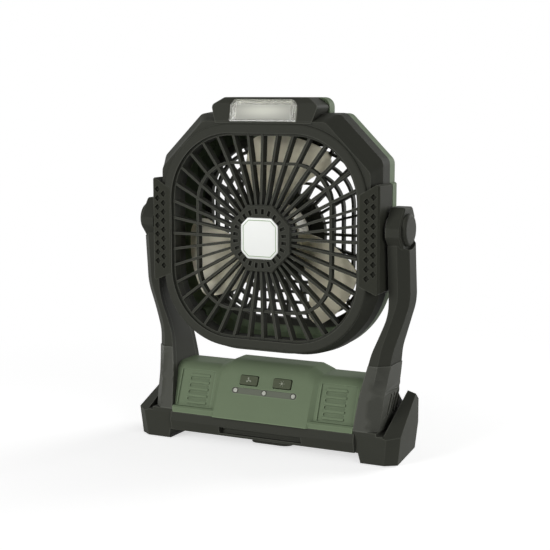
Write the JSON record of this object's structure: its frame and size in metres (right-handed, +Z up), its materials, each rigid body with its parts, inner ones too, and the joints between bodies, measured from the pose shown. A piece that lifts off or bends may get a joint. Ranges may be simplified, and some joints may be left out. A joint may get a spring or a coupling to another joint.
{
  "type": "camping fan",
  "caption": "Rechargeable camping fan: square dark fan head with a lamp on top, tilting between two arms on a green and black base with push buttons and a hanging hook.",
  "frame": {"origin": "Centre of the fan's footprint, on the surface it stands on (middle of the bounding box in X and Y, lowest point in Z).", "axes": "X across from the left to the right arm as seen from the front, Y from the front (grille, buttons) to the back, Z up."},
  "size_m": [0.218, 0.0706, 0.2611],
  "materials": {
    "black_plastic": "fine moulded texture, soft sheen",
    "black_grip": "fine moulded texture, dimpled",
    "green_plastic": "sage green, fine moulded texture",
    "strip_plastic": "pale grey-green, smooth",
    "rubber": "dull soft rubber",
    "blade_plastic": "warm grey-beige, slightly translucent",
    "hub_plastic": "fine moulded texture",
    "white_plate": "smooth white plate",
    "lens_plastic": "milky diffusing plastic",
    "reflector_plastic": "smooth white",
    "screw_steel": "zinc plated",
    "turned_steel": "turned, lightly oiled",
    "core_steel": "laminated electrical steel",
    "copper_wire": "enamelled copper windings",
    "magnet_ferrite": "sintered ferrite",
    "acetal": "natural acetal",
    "circuit_board": "green solder mask",
    "led_epoxy": "yellow phosphor",
    "switch_plastic": "moulded black",
    "cell_wrap": "shrink wrapped"
  },
  "bodies": {
    "base": {"arm_cover_left": "black_plastic", "arm_cover_right": "black_plastic", "arm_left": "black_plastic", "arm_right": "black_plastic", "arm_screws": "screw_steel", "base_chassis": "black_plastic", "base_cover": "green_plastic", "battery_cells": "cell_wrap", "battery_holder": "hub_plastic", "board_screws": "screw_steel", "charge_port": "turned_steel", "chassis_screws": "screw_steel", "control_board": "circuit_board", "indicator_leds": "led_epoxy", "indicator_lenses": "lens_plastic", "indicator_strip": "strip_plastic", "pivot_cap_left": "black_plastic", "pivot_cap_right": "black_plastic", "port_board": "circuit_board", "rubber_feet": "rubber", "tact_switches": "switch_plastic", "tilt_bush_left": "acetal", "tilt_bush_right": "acetal"},
    "head": {"friction_washers": "acetal", "front_bezel": "black_plastic", "front_grille": "black_plastic", "grip_left": "black_grip", "grip_right": "black_grip", "head_screws": "screw_steel", "hub_badge": "white_plate", "hub_ring": "black_plastic", "lamp_board": "circuit_board", "lamp_housing": "black_plastic", "lamp_leds": "led_epoxy", "lamp_lens": "lens_plastic", "lamp_reflector": "reflector_plastic", "motor_base": "hub_plastic", "motor_bearings": "turned_steel", "motor_board": "circuit_board", "motor_screws": "screw_steel", "pin_retainers": "turned_steel", "pin_screws": "screw_steel", "rear_grille": "black_plastic", "rear_shell": "green_plastic", "stator_coils": "copper_wire", "stator_core": "core_steel", "tilt_pin_left": "turned_steel", "tilt_pin_right": "turned_steel"},
    "rotor": {"fan_blades": "blade_plastic", "hub_cap": "hub_plastic", "motor_shaft": "turned_steel", "rotor_can": "turned_steel", "rotor_magnet": "magnet_ferrite", "shaft_clip": "turned_steel"},
    "fan_button_body": {"fan_button": "green_plastic"},
    "lamp_button_body": {"lamp_button": "green_plastic"},
    "hook": {"hang_hook": "black_plastic"}
  },
  "joints": [
    {"name": "head_tilt", "type": "hinge", "parent": "base", "child": "head", "pos_m": [0, -0.0105, 0.1685], "axis": [1, 0, 0], "range_deg": [-180, 90]},
    {"name": "fan_spin", "type": "hinge", "parent": "head", "child": "rotor", "pos_m": [0, -0.0105, 0.1592], "axis": [0, 1, 0], "continuous": true},
    {"name": "fan_press", "type": "slide", "parent": "base", "child": "fan_button_body", "axis": [0, 0.9065, -0.4222], "range_m": [0, 0.0008], "stiffness_N_per_m": 350, "springref_m": -0.001},
    {"name": "lamp_press", "type": "slide", "parent": "base", "child": "lamp_button_body", "axis": [0, 0.9065, -0.4222], "range_m": [0, 0.0008], "stiffness_N_per_m": 350, "springref_m": -0.001},
    {"name": "hook_fold", "type": "hinge", "parent": "base", "child": "hook", "pos_m": [0, 0.014, 0.0033], "axis": [1, 0, 0], "range_deg": [0, 90]}
  ]
}
